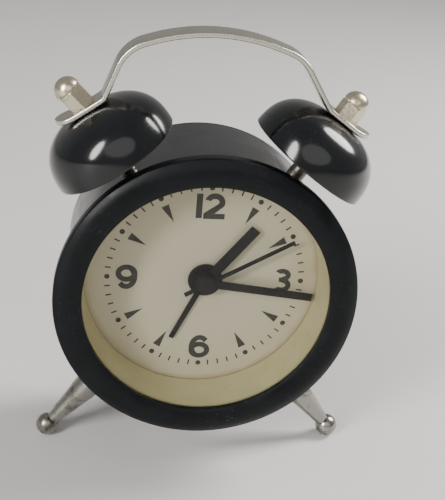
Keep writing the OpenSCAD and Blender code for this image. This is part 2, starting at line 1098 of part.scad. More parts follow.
module handle_strip() {
    corner = [25.6, handle_peak - 8.95];
    line = rounded_line(
        [
            tab_point(-1, tab_outer, tab_curl),
            tab_point(-1, tab_bend),
            tab_point(-1, -tab_inner),
            [handle_skew - corner[0], corner[1]],
            [handle_skew, handle_peak],
            [handle_skew + corner[0], corner[1]],
            tab_point(1, -tab_inner),
            tab_point(1, tab_bend),
            tab_point(1, tab_outer, tab_curl)
        ],
        [9, 3, 12, 58, 12, 3, 9],
        12
    );
    plate(bell_y - handle_w / 2, handle_w)
        polygon(concat(beside(line, handle_t / 2), reversed(beside(line, -handle_t / 2))));
}

module handle() {
    end_r = handle_w / 2 + 0.4;
    color("#b4afa2")
        in_place()
            difference() {
                handle_strip();
                for (side = [-1, 1])
                    bell_frame(side) {
                        cylinder(r = stud_r + 0.1, h = 2 * case_r);
                        translate([side * (tab_outer - end_r), 0, bell_top - 3])
                            difference() {
                                translate([side * end_r, 0, 3])
                                    cube([2 * end_r, 2 * end_r, 6], center = true);
                                translate([0, 0, -1])
                                    cylinder(r = end_r, h = 8);
                            }
                    }
            }
}

// Legs

module leg(side) {
    color("#a9a69b")
        in_place()
            leg_frame(side) {
                rotate_extrude()
                    polygon([
                        [0, stud_inner],
                        [stud_r, stud_inner],
                        [stud_r, case_r],
                        [leg_r - 0.2, case_r],
                        [leg_r, case_r + 0.4],
                        [2.2, leg_reach - 3],
                        [0, leg_reach - 2]
                    ]);
                translate([0, 0, leg_reach])
                    sphere(r = ball_d / 2);
            }
}

module leg_left() {
    leg(-1);
}

module leg_right() {
    leg(1);
}

// Fasteners

module thin_nut() {
    inside_face = case_r - sheet_t - 0.3;
    translate([0, 0, inside_face - 2])
        difference() {
            cylinder(r = nut_af / sqrt(3), h = 2, $fn = 6);
            translate([0, 0, -1])
                cylinder(r = stud_r + 0.02, h = 4);
        }
}

module thin_nuts() {
    color("#b6b8ba")
        in_place()
            for (side = [-1, 1]) {
                bell_frame(side)
                    thin_nut();
                leg_frame(side)
                    thin_nut();
            }
}

// Pan-head screw along +Y whose head sits on the face at depth y
module screw(place, y, r, head_r, length) {
    difference() {
        lathe(place)
            polygon([
                [0, y - length],
                [r * 0.4, y - length],
                [r, y - length + r],
                [r, y],
                [head_r, y],
                [head_r, y + 0.6],
                [head_r - 0.5, y + 1.1],
                [0, y + 1.1]
            ]);
        for (turn = [0, 90])
            translate([place[0], y + 1.1, place[1]])
                rotate([0, turn, 0])
                    cube([head_r * 1.2, 1.1, 0.4], center = true);
    }
}

module cover_screws() {
    color("#77797c")
        in_place()
            for (angle = post_angles)
                screw(post_r * [cos(angle), sin(angle)], case_depth, 1, 2.2, 9);
}

module movement_screws() {
    color("#8d8f92")
        in_movement()
            for (place = housing_screws)
                screw(place, housing_back, 0.8, 1.7, 17.4);
}

front_bezel();
lens();
dial_surround();
dial();
dial_markings();
case_drum();
rear_cover();
foot_pad();
battery_door();
battery();
battery_spring();
battery_contact();
mounting_plate();
movement_housing();
alarm_wheel();
hour_wheel();
centre_wheel();
seconds_wheel();
third_wheel();
intermediate_wheel();
rotor();
stator();
coil();
circuit_board();
quartz_crystal();
minute_wheel();
time_set_knob();
alarm_set_knob();
alarm_switch();
buzzer();
lead_wires();
alarm_hand();
hour_hand();
minute_hand();
second_hand();
bell_left();
bell_right();
bell_post_left();
bell_post_right();
cap_nut_left();
cap_nut_right();
handle();
leg_left();
leg_right();
thin_nuts();
cover_screws();
movement_screws();
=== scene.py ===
"""Looks for a twin-bell alarm clock: enamelled case and bells, worn nickel handle and nuts, turned
legs, an aged printed dial behind a clear lens, and the mouldings and movement at the back."""

import json
import math

import bmesh
import bpy
from mathutils import Matrix, Vector

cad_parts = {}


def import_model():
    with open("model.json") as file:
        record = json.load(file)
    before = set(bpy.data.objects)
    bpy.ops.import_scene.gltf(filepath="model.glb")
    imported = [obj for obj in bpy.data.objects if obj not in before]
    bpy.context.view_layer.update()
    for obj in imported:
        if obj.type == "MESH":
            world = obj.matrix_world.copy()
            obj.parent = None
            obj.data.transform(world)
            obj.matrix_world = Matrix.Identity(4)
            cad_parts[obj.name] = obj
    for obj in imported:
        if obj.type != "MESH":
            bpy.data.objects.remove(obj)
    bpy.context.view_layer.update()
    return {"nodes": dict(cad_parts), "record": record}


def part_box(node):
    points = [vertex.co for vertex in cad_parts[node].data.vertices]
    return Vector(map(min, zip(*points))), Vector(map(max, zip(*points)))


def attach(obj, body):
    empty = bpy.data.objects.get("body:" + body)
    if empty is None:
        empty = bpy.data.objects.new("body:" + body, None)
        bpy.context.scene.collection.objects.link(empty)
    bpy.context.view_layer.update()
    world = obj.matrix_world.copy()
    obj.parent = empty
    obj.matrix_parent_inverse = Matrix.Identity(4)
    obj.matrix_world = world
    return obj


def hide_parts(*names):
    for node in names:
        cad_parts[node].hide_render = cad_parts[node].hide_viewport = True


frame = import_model()

MM = 0.001
NODES = frame["nodes"]
RECORD = frame["record"]
BODY_OF = {node: body for body, nodes in RECORD["behaviour"]["bodies"].items() for node in nodes}

# Sizes in millimetres. Radii are about the dial's axis and depths are behind the bezel's lip.
WINDOW_R = 37.8
LENS_DEPTH = 1.6
LENS_SEAT = 2.8
LENS_POCKET_R = 39.6
BEZEL_BULGE = 1.1
BEZEL_EDGE = 1.0
BEZEL_WALL = 1.4
RIM_OVERHANG = 4.2
SHEET_T = 1.0
BELL_LEAN = math.radians(35)
BELL_REACH = 50.2
BELL_HEIGHT = 15.9
BELL_FULLNESS = 0.79
BELL_WALL = 0.8
STUD_R = 2.0
STUD_HOLE_R = 2.1
STUD_IN_NUT = 4.5
STUD_IN_DRUM = 3.4
SLEEVE_R = 2.7
HANDLE_T = 1.6
HANDLE_PEAK = 82.3
HANDLE_SKEW = -1.9
TAB_INNER = 6.4
TAB_BEND = 4.9
TAB_OUTER = 9.4
TAB_CURL = 0.9
NUT_FLATS = 7.0
BORE_R = 2.02
NUT_DOME = 3.9
NUT_HEIGHT = {"left": 10.2, "right": 8.9}
NUT_LEAN = {"left": math.radians(11), "right": math.radians(-4)}
LEG_R = 5.8
BALL_R = 3.7


def box_mm(node):
    """Lowest and highest corners of a CAD node, in millimetres."""
    low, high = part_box(node)
    return Vector(low) / MM, Vector(high) / MM


def middle(node):
    """Centre of a CAD node's box, in millimetres."""
    low, high = box_mm(node)
    return (low + high) / 2


# Places that the frame gives, in millimetres
LIP = middle("lens")
LIP.y = box_mm("lens")[0].y - LENS_DEPTH
BEZEL_R = box_mm("front_bezel")[1].x - LIP.x
BEZEL_BACK = box_mm("front_bezel")[1].y - LIP.y
CASE_R = BEZEL_R - RIM_OVERHANG
CASE_BACK = box_mm("case_drum")[1].y - LIP.y
DIAL_DEPTH = box_mm("dial")[0].y - LIP.y
BELL_DEPTH = middle("bell_right").y - LIP.y
BELL_R = (box_mm("bell_right")[1].y - box_mm("bell_right")[0].y) / 2
LEG_DEPTH = middle("leg_right").y - LIP.y
BALL_X = box_mm("leg_right")[1].x - BALL_R - LIP.x
BALL_DROP = LIP.z - BALL_R - box_mm("leg_right")[0].z
LEG_REACH = math.hypot(BALL_X, BALL_DROP)
HANDLE_W = box_mm("handle")[1].y - box_mm("handle")[0].y
BELL_TOP = BELL_REACH + BELL_HEIGHT
NUT_BASE = BELL_TOP + HANDLE_T
BORE_END = NUT_BASE + 5
STUD_INNER = CASE_R - STUD_IN_DRUM

# Frames from a part's own millimetres to the metres of all the parts together. CASE starts at the
# middle of the bezel's lip. DIAL is turned so that its Z runs from there back into the case.
CASE = Matrix.Scale(MM, 4) @ Matrix.Translation(LIP)
DIAL = CASE @ Matrix.Rotation(math.radians(-90), 4, "X")


def bell_place(side):
    """Frame whose Z runs from the dial's axis out through a bell."""
    return CASE @ Matrix.Translation((0, BELL_DEPTH, 0)) @ Matrix.Rotation(side * BELL_LEAN, 4, "Y")


def leg_place(side):
    """Frame whose Z runs from the dial's axis out through a ball foot."""
    angle = math.pi - math.atan2(BALL_X, BALL_DROP)
    return CASE @ Matrix.Translation((0, LEG_DEPTH, 0)) @ Matrix.Rotation(side * angle, 4, "Y")


# ---------------------------------------------------------------- shapes


def rounded(corners, closed=True, step=math.radians(10)):
    """Points of an outline of (x, y, radius) corners, each rounded to its radius."""
    points = []
    for i, (x, y, radius) in enumerate(corners):
        here = Vector((x, y))
        if radius == 0 or (not closed and i in (0, len(corners) - 1)):
            points.append(here)
            continue
        before = (Vector(corners[i - 1][:2]) - here).normalized()
        after = (Vector(corners[(i + 1) % len(corners)][:2]) - here).normalized()
        half = before.angle(after) / 2
        centre = here + (before + after).normalized() * radius / math.sin(half)
        first = here + before * radius / math.tan(half) - centre
        last = here + after * radius / math.tan(half) - centre
        start = math.atan2(first.y, first.x)
        sweep = (math.atan2(last.y, last.x) - start + math.pi) % math.tau - math.pi
        steps = max(2, math.ceil(abs(sweep) / step))
        for k in range(steps + 1):
            angle = start + sweep * k / steps
            points.append(centre + radius * Vector((math.cos(angle), math.sin(angle))))
    return points


def arc(centre, radius, start, end, steps):
    """Points (x, y, 0) along an arc between two angles in degrees, to use as corners."""
    angles = [math.radians(start + (end - start) * k / steps) for k in range(steps + 1)]
    return [(centre[0] + radius * math.cos(a), centre[1] + radius * math.sin(a), 0) for a in angles]


def lathe(profile, steps=192, radius_at=None):
    """Mesh of a closed profile of (radius, height) points turned about Z.

    radius_at(radius, angle, height) may bend the radius, as for a nut's flats. Each point keeps
    its height in the attribute "along" for finishes that follow the turning."""
    bm = bmesh.new()
    along = bm.verts.layers.float.new("along")
    rings = []
    for radius, height in profile:
        ring = []
        for k in range(steps if radius > 1e-5 else 1):
            angle = math.tau * k / steps
            r = radius_at(radius, angle, height) if radius_at else radius
            vert = bm.verts.new((r * math.cos(angle), r * math.sin(angle), height))
            vert[along] = height
            ring.append(vert)
        rings.append(ring)
    for ring, following in zip(rings, rings[1:] + rings[:1]):
        if len(ring) == 1 and len(following) == 1:
            continue
        for k in range(steps):
            corners = [ring[k % len(ring)], ring[(k + 1) % len(ring)]]
            corners += [following[(k + 1) % len(following)], following[k % len(following)]]
            bm.faces.new(list(dict.fromkeys(corners)))
    bmesh.ops.recalc_face_normals(bm, faces=bm.faces)
    return bm


def strip(path, width, thickness, round_r, end_r):
    """Mesh of a flat strip along a path in the XZ plane, with rounded long edges and round ends.

    The attribute "across" is 0 along the strip's middle and 1 at its edges."""
    bm = bmesh.new()
    across = bm.verts.layers.float.new("across")
    half_w, half_t = width / 2, thickness / 2
    corners = ((-half_w, -half_t), (half_w, -half_t), (half_w, half_t), (-half_w, half_t))
    section = rounded([(x, y, round_r) for x, y in corners])
    least_share = 0.02  # of the width, left at the very ends so that a face can close them
    rows = []
    run = [0.0]
    for a, b in zip(path, path[1:]):
        run.append(run[-1] + (b - a).length)
    for i, point in enumerate(path):
        heading = (path[min(i + 1, len(path) - 1)] - path[max(i - 1, 0)]).normalized()
        normal = Vector((-heading.y, heading.x))
        from_end = min(run[i], run[-1] - run[i])
        short = max(0.0, end_r - from_end) / end_r
        share = max(least_share, math.sqrt(max(0.0, 1 - short * short)))
        row = []
        for x, y in section:
            flat = point + normal * y
            vert = bm.verts.new((flat.x, x * share, flat.y))
            vert[across] = abs(x) / half_w
            row.append(vert)
        rows.append(row)
    for row, following in zip(rows, rows[1:]):
        for k in range(len(row)):
            bm.faces.new((row[k], row[k - 1], following[k - 1], following[k]))
    bm.faces.new(rows[0])
    bm.faces.new(reversed(rows[-1]))
    bmesh.ops.recalc_face_normals(bm, faces=bm.faces)
    return bm


def softened(node, width):
    """Mesh of a CAD node, in metres, with its sharp edges rounded to a width in millimetres."""
    same_point = 2e-6
    flat = math.radians(0.4)
    sharp = math.radians(30)
    bm = bmesh.new()
    bm.from_mesh(NODES[node].data)
    bmesh.ops.remove_doubles(bm, verts=bm.verts, dist=same_point)
    bmesh.ops.dissolve_limit(bm, angle_limit=flat, verts=bm.verts, edges=bm.edges)
    edges = [edge for edge in bm.edges if edge.is_manifold and edge.calc_face_angle() > sharp]
    bmesh.ops.bevel(
        bm, geom=edges, affect="EDGES", offset=width * MM, segments=2, profile=0.5,
        clamp_overlap=True,
    )
    return bm


def piece(name, bm, node, material, place=None, crease=math.radians(32)):
    """Shows a mesh in place of a CAD node, on the same body."""
    mesh = bpy.data.meshes.new(name)
    bm.to_mesh(mesh)
    bm.free()
    if place:
        mesh.transform(place)
    mesh.shade_smooth()
    mesh.set_sharp_from_angle(angle=crease)
    mesh.materials.append(material)
    obj = bpy.data.objects.new(name, mesh)
    bpy.context.scene.collection.objects.link(obj)
    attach(obj, BODY_OF[node])
    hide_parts(node)


def drilled(bm, holes, radius, reach):
    """The mesh with a round hole along the Z of each frame, from its origin out to a reach."""
    mesh = bpy.data.meshes.new("blank")
    bm.to_mesh(mesh)
    bm.free()
    blank = bpy.data.objects.new("blank", mesh)
    bpy.context.scene.collection.objects.link(blank)
    cutters = []
    for place in holes:
        drill = bmesh.new()
        bmesh.ops.create_cone(
            drill, cap_ends=True, segments=48, radius1=radius, radius2=radius, depth=reach,
            matrix=place @ Matrix.Translation((0, 0, reach / 2)),
        )
        drill_mesh = bpy.data.meshes.new("drill")
        drill.to_mesh(drill_mesh)
        drill.free()
        cutter = bpy.data.objects.new("drill", drill_mesh)
        bpy.context.scene.collection.objects.link(cutter)
        cutters.append(cutter)
        cut = blank.modifiers.new("hole", "BOOLEAN")
        cut.object = cutter
        cut.solver = "EXACT"
    bpy.context.view_layer.update()
    result = bmesh.new()
    result.from_object(blank, bpy.context.evaluated_depsgraph_get())
    for obj in [blank] + cutters:
        bpy.data.objects.remove(obj)
    return result


# ---------------------------------------------------------------- finishes


class Finish:
    """A node material, with short calls for what the finishes share. Lengths are in mm."""

    def __init__(self, name):
        self.material = bpy.data.materials.new(name)
        self.material.use_nodes = True
        self.tree = self.material.node_tree
        self.tree.nodes.clear()
        self.output = self.add("ShaderNodeOutputMaterial")
        self.place = self.add("ShaderNodeTexCoord").outputs["Object"]

    def add(self, kind, **settings):
        """A new node of a kind, with its settings."""
        node = self.tree.nodes.new(kind)
        for key, value in settings.items():
            setattr(node, key, value)
        return node

    def put(self, socket, value):
        """Links an output to a socket, or sets the socket's own value."""
        if isinstance(value, bpy.types.NodeSocket):
            self.tree.links.new(value, socket)
        else:
            socket.default_value = value

    def maths(self, operation, a, b=0.0):
        """The operation on one or two values."""
        node = self.add("ShaderNodeMath", operation=operation)
        self.put(node.inputs[0], a)
        self.put(node.inputs[1], b)
        return node.outputs[0]

    def noise(self, size, detail=4.0, roughness=0.55, distortion=0.0, where=None):
        """Cloudy noise from 0 to 1, with features of about a size."""
        node = self.add("ShaderNodeTexNoise")
        self.put(node.inputs["Vector"], where or self.place)
        self.put(node.inputs["Scale"], 1 / (size * MM))
        self.put(node.inputs["Detail"], detail)
        self.put(node.inputs["Roughness"], roughness)
        self.put(node.inputs["Distortion"], distortion)
        return node.outputs["Fac"]

    def specks(self, size):
        """Distance from the nearest of many scattered points, 0 at each point."""
        node = self.add("ShaderNodeTexVoronoi")
        self.put(node.inputs["Vector"], self.place)
        self.put(node.inputs["Scale"], 1 / (size * MM))
        return node.outputs["Distance"]

    def stretched(self, scale):
        """The coordinates scaled along X, Y and Z, for streaks."""
        node = self.add("ShaderNodeMapping")
        self.put(node.inputs["Vector"], self.place)
        self.put(node.inputs["Scale"], scale)
        return node.outputs["Vector"]

    def centred(self, point_mm):
        """The coordinates with a point in millimetres as their origin."""
        node = self.add("ShaderNodeVectorMath", operation="SUBTRACT")
        self.put(node.inputs[0], self.place)
        self.put(node.inputs[1], [value * MM for value in point_mm])
        return node.outputs["Vector"]

    def length_mm(self, vector):
        """Length of a vector, in millimetres."""
        node = self.add("ShaderNodeVectorMath", operation="LENGTH")
        self.put(node.inputs[0], vector)
        return self.maths("DIVIDE", node.outputs["Value"], MM)

    def along_axis(self, axis):
        """The coordinate along X, Y or Z, in millimetres."""
        node = self.add("ShaderNodeSeparateXYZ")
        self.put(node.inputs[0], self.place)
        return self.maths("DIVIDE", node.outputs[axis], MM)

    def attribute(self, name):
        """A number that the mesh keeps at each of its points."""
        return self.add("ShaderNodeAttribute", attribute_name=name).outputs["Fac"]

    def level(self, value, low, high, to_low=0.0, to_high=1.0):
        """The value's share of the way from low to high, clamped, as a new range."""
        node = self.add("ShaderNodeMapRange", clamp=True)
        for socket, number in zip(node.inputs[:5], (value, low, high, to_low, to_high)):
            self.put(socket, number)
        return node.outputs["Result"]

    def mix(self, share, a, b):
        """Colour a turning into colour b with the share."""
        node = self.add("ShaderNodeMix", data_type="RGBA")
        self.put(node.inputs["Factor"], share)
        # A Mix node has inputs named A and B for each kind of value: the colours are 6 and 7.
        self.put(node.inputs[6], (*a, 1) if isinstance(a, tuple) else a)
        self.put(node.inputs[7], (*b, 1) if isinstance(b, tuple) else b)
        return node.outputs[2]

    def bump(self, height, depth, normal=None, strength=1.0):
        """Relief of a depth where the height goes from 0 to 1, on top of another normal."""
        node = self.add("ShaderNodeBump")
        self.put(node.inputs["Height"], height)
        self.put(node.inputs["Distance"], depth * MM)
        self.put(node.inputs["Strength"], strength)
        if normal:
            self.put(node.inputs["Normal"], normal)
        return node.outputs["Normal"]

    def principled(self, **inputs):
        """The finished material, from the shader's inputs by name."""
        node = self.add("ShaderNodeBsdfPrincipled")
        for key, value in inputs.items():
            value = (*value, 1) if isinstance(value, tuple) and len(value) == 3 else value
            self.put(node.inputs[key.replace("_", " ")], value)
        self.put(self.output.inputs["Surface"], node.outputs["BSDF"])
        return self.material


def enamel(name, colour, roughness, dust, coat, ripple):
    """Black stoved enamel with faint ripple, handling smears and settled dust."""
    f = Finish(name)
    smears = f.noise(9, detail=6, roughness=0.6, distortion=0.6)
    patches = f.noise(22, detail=3)
    grit = f.level(f.specks(1.1), 0.16, 0.06)
    thin_dust = f.maths("MULTIPLY", grit, f.level(patches, 0.45, 0.7))
    dusty = f.maths("MULTIPLY", thin_dust, dust)
    lifted = f.mix(f.level(smears, 0.3, 0.75), colour, tuple(c * 2.2 for c in colour))
    shade = f.mix(dusty, lifted, (0.3, 0.29, 0.27))
    rough = f.level(smears, 0.3, 0.75, roughness * 0.8, roughness * 1.35)
    normal = f.bump(f.noise(0.9, detail=2), ripple)
    return f.principled(
        Base_Color=shade, Roughness=rough, Normal=normal, Specular_IOR_Level=0.16,
        Coat_Weight=coat, Coat_Roughness=0.12,
    )


def plated(name, bright, tarnish, roughness, keep, rings=0.0, painted_edge_light=False):
    """Worn plate: tarnish in patches, fine scratches and pits.

    The more of the plate it keeps, the smaller its patches of tarnish are. It may have turning
    rings, as radians of ripple for each millimetre, or painted edge light: a strip's edges lighter
    and clear of tarnish as a painted highlight, and its middle darker as painted shade."""
    f = Finish(name)
    patches = f.noise(5.5, detail=7, roughness=0.65, distortion=0.5)
    fine = f.noise(0.7, detail=5, roughness=0.7)
    uneven = f.maths("ADD", patches, f.maths("MULTIPLY", fine, 0.3))
    worn = f.level(uneven, 0.5 + keep * 0.3, 0.85)
    pits = f.level(f.specks(1.3), 0.14, 0.05)
    stain = f.maths("MAXIMUM", worn, f.maths("MULTIPLY", pits, f.level(patches, 0.45, 0.6)))
    # Painted highlight on the strip's edges and painted shade in its middle, across the strip.
    if painted_edge_light:
        edge_light_share = f.level(f.attribute("across"), 0.6, 0.97)
        stain = f.maths("MULTIPLY", stain, f.maths("SUBTRACT", 1.0, edge_light_share))
        bright = f.mix(edge_light_share, tuple(c * 0.66 for c in bright), bright)
    colour = f.mix(stain, bright, tarnish)
    dull = f.maths("ADD", fine, stain)
    rough = f.level(dull, 0.3, 1.5, roughness * 0.75, min(0.9, roughness * 2))
    scratches = f.noise(0.25, detail=2, roughness=0.5, where=f.stretched((0.12, 1, 0.12)))
    normal = f.bump(scratches, 0.02, strength=0.5)
    normal = f.bump(f.maths("SUBTRACT", 1.0, pits), 0.02, normal, strength=0.6)
    if rings:
        ripple = f.maths("SINE", f.maths("MULTIPLY", f.attribute("along"), rings))
        normal = f.bump(ripple, 0.012, normal, strength=0.6)
    return f.principled(Base_Color=colour, Metallic=1.0, Roughness=rough, Normal=normal)


def dial_card():
    """Aged cream card: greyer middle, faint mottling, fibre, foxing, brown rim and tide mark."""
    f = Finish("dial_card")
    centre = LIP + Vector((0, DIAL_DEPTH, 0))
    radius = f.length_mm(f.centred(centre))
    mottle = f.noise(11, detail=5, roughness=0.6, distortion=0.4)
    base = f.mix(f.level(radius, 8, 37), (0.55, 0.505, 0.39), (0.62, 0.56, 0.41))
    base = f.mix(f.level(mottle, 0.35, 0.75, 0, 0.35), base, (0.54, 0.48, 0.34))
    foxing = f.maths("MULTIPLY", f.level(f.specks(3.1), 0.13, 0.04), f.level(mottle, 0.5, 0.68))
    base = f.mix(f.maths("MULTIPLY", foxing, 0.5), base, (0.42, 0.30, 0.15))
    wobble = f.maths("ADD", radius, f.maths("MULTIPLY", f.noise(6), 3.0))
    rim = f.maths("MULTIPLY", f.level(wobble, 36.9, 38.6), 0.5)
    base = f.mix(rim, base, (0.40, 0.30, 0.15))
    spot = f.centred(centre + Vector((32.5, 0, 4.0)))
    stained = f.maths("ADD", f.length_mm(spot), f.maths("MULTIPLY", f.noise(4), 4.0))
    base = f.mix(f.level(stained, 9.0, 3.0, 0, 0.42), base, (0.50, 0.37, 0.20))
    fibre = f.bump(f.noise(0.16, detail=3), 0.01)
    return f.principled(Base_Color=base, Roughness=0.62, Normal=fibre, Specular_IOR_Level=0.3)


def cream_wall():
    """Yellowed cream moulding between the lens and the dial, with grime at the dial's edge."""
    f = Finish("cream_wall")
    depth = f.maths("SUBTRACT", f.along_axis("Y"), LIP.y)
    cloud = f.noise(8, detail=5, roughness=0.6)
    base = f.mix(f.level(cloud, 0.3, 0.7), (0.64, 0.595, 0.36), (0.57, 0.52, 0.28))
    joint = f.maths("ADD", depth, f.maths("MULTIPLY", f.noise(2.5), 0.9))
    grime = f.level(joint, DIAL_DEPTH - 0.5, DIAL_DEPTH + 0.1, 0, 0.75)
    base = f.mix(grime, base, (0.30, 0.20, 0.09))
    dirt = f.maths("MULTIPLY", f.level(f.specks(2.1), 0.19, 0.05), f.level(cloud, 0.46, 0.6))
    base = f.mix(f.maths("MULTIPLY", dirt, 0.8), base, (0.22, 0.15, 0.08))
    return f.principled(
        Base_Color=base, Roughness=0.45, Normal=f.bump(f.noise(0.5, detail=3), 0.012),
        Subsurface_Weight=0.05, Subsurface_Scale=0.002,
    )


def matt_ink():
    """Black printing ink, worn thin in places."""
    f = Finish("matt_ink")
    wear = f.level(f.noise(1.2, detail=6, roughness=0.7), 0.35, 0.8)
    colour = f.mix(wear, (0.026, 0.024, 0.021), (0.055, 0.051, 0.044))
    normal = f.bump(f.noise(0.2, detail=3), 0.006)
    return f.principled(Base_Color=colour, Roughness=0.7, Normal=normal)


def hand_paint():
    """Matt dark lacquer on the hands, rubbed to grey in places."""
    f = Finish("hand_paint")
    cloud = f.noise(3.2, detail=5, roughness=0.6)
    colour = f.mix(f.level(cloud, 0.4, 0.75), (0.004, 0.0038, 0.0035), (0.011, 0.0105, 0.010))
    rough = f.level(cloud, 0.3, 0.7, 0.45, 0.62)
    normal = f.bump(f.noise(0.3, detail=3), 0.006)
    return f.principled(Base_Color=colour, Roughness=rough, Normal=normal, Specular_IOR_Level=0.25)


def moulded(name, colour, roughness, grain=0.35, depth=0.02):
    """Plastic moulding with a fine grain, cloudy sheen and a little soil."""
    f = Finish(name)
    cloud = f.noise(10, detail=5, roughness=0.6)
    shade = f.mix(f.level(cloud, 0.3, 0.75), colour, tuple(c * 0.82 for c in colour))
    soiled = f.maths("MULTIPLY", f.level(f.specks(2.8), 0.12, 0.04), f.level(cloud, 0.5, 0.7))
    shade = f.mix(f.maths("MULTIPLY", soiled, 0.5), shade, (0.2, 0.17, 0.12))
    rough = f.level(cloud, 0.3, 0.75, roughness * 0.85, min(1, roughness * 1.2))
    normal = f.bump(f.noise(grain, detail=3), depth)
    return f.principled(Base_Color=shade, Roughness=rough, Normal=normal)


def brushed(name, colour, roughness):
    """Rolled metal with fine lines along X."""
    f = Finish(name)
    lines = f.noise(0.18, detail=3, roughness=0.6, where=f.stretched((0.06, 1, 1)))
    cloud = f.noise(4)
    shade = f.mix(f.level(cloud, 0.35, 0.7), colour, tuple(c * 0.78 for c in colour))
    rough = f.level(lines, 0.3, 0.7, roughness * 0.8, roughness * 1.3)
    normal = f.bump(lines, 0.008)
    return f.principled(Base_Color=shade, Metallic=1.0, Roughness=rough, Normal=normal)


def winding():
    """Enamelled copper wire wound in close turns."""
    f = Finish("winding")
    wire_d = 0.12
    turns = f.maths("SINE", f.maths("MULTIPLY", f.along_axis("Z"), math.tau / wire_d))
    # Painted highlight on each turn's crown and painted shade in the grooves between turns.
    shade = f.mix(f.level(turns, -1, 0.6), (0.16, 0.05, 0.02), (0.55, 0.2, 0.08))
    normal = f.bump(turns, 0.02)
    return f.principled(Base_Color=shade, Metallic=1.0, Roughness=0.3, Normal=normal)


def circuit():
    """Green lacquered board with copper tracks."""
    f = Finish("circuit")
    track_spacing = 3
    tracks = f.add("ShaderNodeTexBrick")
    f.put(tracks.inputs["Vector"], f.place)
    f.put(tracks.inputs["Scale"], 1 / (track_spacing * MM))
    f.put(tracks.inputs["Mortar Size"], 0.06)
    lines = f.level(tracks.outputs["Fac"], 0.4, 0.6)
    shade = f.mix(lines, (0.03, 0.16, 0.06), (0.12, 0.3, 0.1))
    return f.principled(Base_Color=shade, Roughness=0.3, Normal=f.bump(lines, 0.03))


def cell_jacket():
    """Plain printed battery jacket: dark wrap, copper band and bare end, with no lettering."""
    f = Finish("cell_jacket")
    low, high = box_mm("battery")
    along = f.maths("DIVIDE", f.maths("SUBTRACT", f.along_axis("X"), low.x), high.x - low.x)
    wrap = f.mix(f.level(along, 0.70, 0.702), (0.03, 0.035, 0.045), (0.62, 0.35, 0.12))
    shade = f.mix(f.level(along, 0.955, 0.957), wrap, (0.6, 0.6, 0.6))
    scuffs = f.noise(1.5, detail=6, roughness=0.7)
    shade = f.mix(f.level(scuffs, 0.62, 0.8, 0, 0.4), shade, (0.5, 0.5, 0.48))
    rough = f.level(scuffs, 0.3, 0.7, 0.22, 0.4)
    return f.principled(Base_Color=shade, Metallic=0.6, Roughness=rough)


def clear_lens():
    """Clear lens as a thin pane: it passes light unbent and mirrors a little of it."""
    f = Finish("clear_lens")
    smudge = f.noise(14, detail=6, roughness=0.6, distortion=0.8)
    clear = f.add("ShaderNodeBsdfTransparent")
    f.put(clear.inputs["Color"], (0.97, 0.975, 0.97, 1))
    gloss = f.add("ShaderNodeBsdfGlossy")
    f.put(gloss.inputs["Roughness"], f.level(smudge, 0.4, 0.75, 0.03, 0.12))
    facing = f.add("ShaderNodeFresnel")
    f.put(facing.inputs["IOR"], 1.25)
    mix = f.add("ShaderNodeMixShader")
    f.put(mix.inputs[0], facing.outputs[0])
    f.put(mix.inputs[1], clear.outputs[0])
    f.put(mix.inputs[2], gloss.outputs[0])
    f.put(f.output.inputs["Surface"], mix.outputs[0])
    return f.material


BLACK = (0.0022, 0.0028, 0.0036)
DEEP_BLACK = (0.0018, 0.0024, 0.0032)

bezel_enamel = enamel("bezel_enamel", BLACK, roughness=0.36, dust=0.3, coat=0.0, ripple=0.006)
drum_enamel = enamel("drum_enamel", BLACK, roughness=0.26, dust=0.45, coat=0.3, ripple=0.004)
bell_enamel = enamel("bell_enamel", DEEP_BLACK, roughness=0.17, dust=0.2, coat=0.7, ripple=0.0015)
# The handle's lighter edges and darker middle are painted highlight and painted shade.
handle_plate = plated(
    "handle_plate", bright=(0.60, 0.57, 0.50), tarnish=(0.16, 0.135, 0.10), roughness=0.28,
    keep=0.4, painted_edge_light=True,
)
nut_plate = plated(
    "nut_plate", bright=(0.66, 0.60, 0.46), tarnish=(0.26, 0.2, 0.12), roughness=0.27, keep=0.55
)
# The posts' plate is darkened to about a fifth of the nuts' brightness, as painted shade for the
# gap under the bells.
post_plate_shaded = plated(
    "post_plate_shaded", bright=(0.14, 0.135, 0.12), tarnish=(0.04, 0.035, 0.03), roughness=0.34,
    keep=0.7, rings=9,
)
leg_plate = plated(
    "leg_plate", bright=(0.34, 0.33, 0.30), tarnish=(0.10, 0.09, 0.075), roughness=0.22, keep=0.5
)
black_moulding = moulded("black_moulding", (0.018, 0.0185, 0.02), 0.5)
ivory_moulding = moulded("ivory_moulding", (0.62, 0.6, 0.52), 0.42)
acetal = moulded("acetal", (0.75, 0.74, 0.7), 0.35, depth=0.008)
rubber = moulded("rubber", (0.02, 0.02, 0.02), 0.85, grain=0.2, depth=0.04)
red_jacket = moulded("red_jacket", (0.36, 0.03, 0.025), 0.45, depth=0.01)
zinc = brushed("zinc", (0.55, 0.56, 0.58), 0.32)
spring_nickel = brushed("spring_nickel", (0.72, 0.71, 0.68), 0.2)
sheet_brass = brushed("sheet_brass", (0.78, 0.56, 0.22), 0.28)
sintered = brushed("sintered", (0.1, 0.1, 0.11), 0.5)

# ---------------------------------------------------------------- case


def bezel_profile():
    """Gently domed ring: parabolic face, small lip radius and a rounded outer edge."""
    face_end = BEZEL_R - BEZEL_EDGE
    inside_r = BEZEL_R - BEZEL_WALL
    steps = 28
    face = []
    for k in range(1, steps):
        t = k / steps
        face.append((WINDOW_R + (face_end - WINDOW_R) * t, -4 * BEZEL_BULGE * t * (1 - t), 0))
    return rounded(
        [(WINDOW_R, LENS_DEPTH, 0), (WINDOW_R, 0, 0.12)]
        + face
        + [(BEZEL_R, 0.55, 0.85), (BEZEL_R, BEZEL_BACK, 0.35), (inside_r, BEZEL_BACK, 0.35)]
        + [(inside_r, LENS_SEAT, 0), (LENS_POCKET_R, LENS_SEAT, 0), (LENS_POCKET_R, LENS_DEPTH, 0)]
    )


